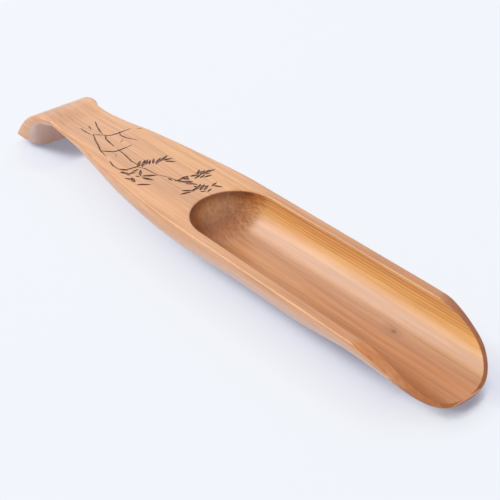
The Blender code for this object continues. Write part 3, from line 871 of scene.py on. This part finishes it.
tree = parting_tree()
for i, (name, tone, vein) in enumerate(STRIPS):
    joints = JOINTS[i : i + 2]
    piece = bpy.data.objects.new("carved_" + name, blank.data)
    bpy.context.scene.collection.objects.link(piece)
    parting = piece.modifiers.new("part_strip", "NODES")
    parting.node_group = tree
    settings = {
        "Left joint": joints[0][0],
        "Right joint": joints[1][0],
        "Glue film": GLUE_FILM,
        "Groove": scorch,
        "Bamboo": bamboo(name + "_bamboo", tone, i, joints, vein, BUD_MARKS.get(name, ())),
    }
    for socket in tree.interface.items_tree:
        if socket.name in settings:
            parting[socket.identifier] = settings[socket.name]
    graph = bpy.context.evaluated_depsgraph_get()
    parted = bpy.data.meshes.new_from_object(piece.evaluated_get(graph))
    piece.modifiers.clear()
    piece.data = parted
    drop_unworn_slots(parted)
    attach(piece, "root")
    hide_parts(name)
bpy.data.objects.remove(blank)


# THE TABLE. The scoop lies on a plain pale table, in the soft light of a tent of white cloth,
# and is seen from the right of its tip, a little from above.
TABLE_SIZE = 6
TABLE_WHITE = (0.87, 0.885, 0.94)
# How much of what a camera or a mirror sees of the table is its glow, and not lamplight
GLOW_SHARE = 0.8
# The glow goes by how open the table is in this direction, within this distance
SHADE_FROM, SHADE_REACH, SHADE_SAMPLES = (-0.75, -0.45, 0.5), 0.016, 32
# Below the nose's near side, an openness from 0.5 to 0.655 counts as one from 0.37 to 1
STEEP_SHADE = (0.5, 0.655, 0.37, 1)
# How open the table is, and its glow there, set against the photograph's shadow
TABLE_GLOW = (
    (0.4, (0.28, 0.27, 0.33)),
    (0.5, (0.29, 0.285, 0.345)),
    (0.55, (0.43, 0.44, 0.53)),
    (0.6, (0.63, 0.655, 0.77)),
    (0.66, (0.77, 0.8, 0.92)),
    (0.75, (0.82, 0.84, 0.94)),
    (0.86, (0.855, 0.875, 0.945)),
    (1.0, (0.91, 0.94, 0.99)),
)


def steeper_below_nose(tree, open_to_light):
    """Below the near side of the lifted nose, the shade falls off more steeply."""
    place = added(tree, "ShaderNodeTexCoord").outputs["Object"]
    along, across = parts_of(place)[:2]
    below_nose = both(fades(along, 0.077, 0.09), fades(across, 0.006, 0.012, 1, 0))
    steep = fades(open_to_light, *STEEP_SHADE)
    shares = {"Factor": below_nose, "A": open_to_light, "B": steep}
    return added(tree, "ShaderNodeMix", shares).outputs["Result"]


def table_top():
    """Matt white board. Its glow carries most of the scoop's shadow, and the lamps the rest."""
    material, board = surface("table_top")
    tree = material.node_tree
    fill(board.inputs["Base Color"], TABLE_WHITE)
    fill(board.inputs["Roughness"], 0.9)
    fill(board.inputs["Specular IOR Level"], 0.1)
    direction = dict(zip("XYZ", Vector(SHADE_FROM).normalized()))
    towards = added(tree, "ShaderNodeCombineXYZ", direction).outputs[0]
    reach = {"Distance": SHADE_REACH, "Normal": towards}
    openness = added(tree, "ShaderNodeAmbientOcclusion", reach, samples=SHADE_SAMPLES)
    shade = ramp(steeper_below_nose(tree, openness.outputs["AO"]), *TABLE_GLOW)
    glow = added(tree, "ShaderNodeEmission", {"Color": shade}).outputs[0]
    ray = added(tree, "ShaderNodeLightPath").outputs
    seen = maths("MAXIMUM", ray["Is Camera Ray"], ray["Is Glossy Ray"])
    seen = maths("MAXIMUM", seen, ray["Is Transmission Ray"])
    shares = {0: maths("MULTIPLY", seen, GLOW_SHARE), 1: board.outputs[0], 2: glow}
    lit = added(tree, "ShaderNodeMixShader", shares).outputs[0]
    fill(tree.nodes["Material Output"].inputs["Surface"], lit)
    return material


bpy.ops.mesh.primitive_plane_add(size=TABLE_SIZE)
table = bpy.context.object
table.name = "table"
table.data.materials.append(table_top())

CLOTH_LOW, CLOTH_HIGH, CLOTH_STRENGTH = (0.74, 0.75, 0.78), (0.97, 0.98, 1), 0.56
CLOTH_SEEN = (0.89, 0.92, 0.975)


def tent_cloth():
    """World of white cloth, brighter above than at the table. The camera sees it plain."""
    world = bpy.data.worlds.new("tent")
    world.use_nodes = True
    tree = world.node_tree
    up = parts_of(added(tree, "ShaderNodeTexCoord").outputs["Generated"])[2]
    cloth = tree.nodes["Background"]
    fill(cloth.inputs["Color"], ramp(up, (0.05, CLOTH_LOW), (0.5, CLOTH_HIGH)))
    fill(cloth.inputs["Strength"], CLOTH_STRENGTH)
    wall = added(tree, "ShaderNodeBackground", {"Color": CLOTH_SEEN})
    camera_ray = added(tree, "ShaderNodeLightPath").outputs["Is Camera Ray"]
    shares = {0: camera_ray, 1: cloth.outputs[0], 2: wall.outputs[0]}
    lit = added(tree, "ShaderNodeMixShader", shares).outputs[0]
    fill(tree.nodes["World Output"].inputs["Surface"], lit)
    return world


def tent_lamp(name, place, size, watts):
    """Round lamp behind the cloth, aimed at the scoop."""
    lamp = bpy.data.lights.new(name, "AREA")
    lamp.shape, lamp.size, lamp.energy = "DISK", size, watts
    hung = bpy.data.objects.new(name, lamp)
    hung.location = place
    hung.rotation_euler = (-Vector(place)).to_track_quat("-Z", "Y").to_euler()
    bpy.context.scene.collection.objects.link(hung)


bpy.context.scene.world = tent_cloth()
tent_lamp("key_lamp", place=(-1.18, -0.84, 1.5), size=1.4, watts=22.5)
tent_lamp("back_lamp", place=(-1.44, 1.2, 1.24), size=2.4, watts=9)

camera = bpy.data.objects.new("camera", bpy.data.cameras.new("camera"))
camera.location = CAMERA_PLACE
camera.rotation_euler = Vector(CAMERA_AIM).to_track_quat("-Z", "Y").to_euler()
camera.data.lens = CAMERA_LENS
bpy.context.scene.collection.objects.link(camera)
bpy.context.scene.camera = camera
bpy.context.scene.view_settings.view_transform = "Standard"
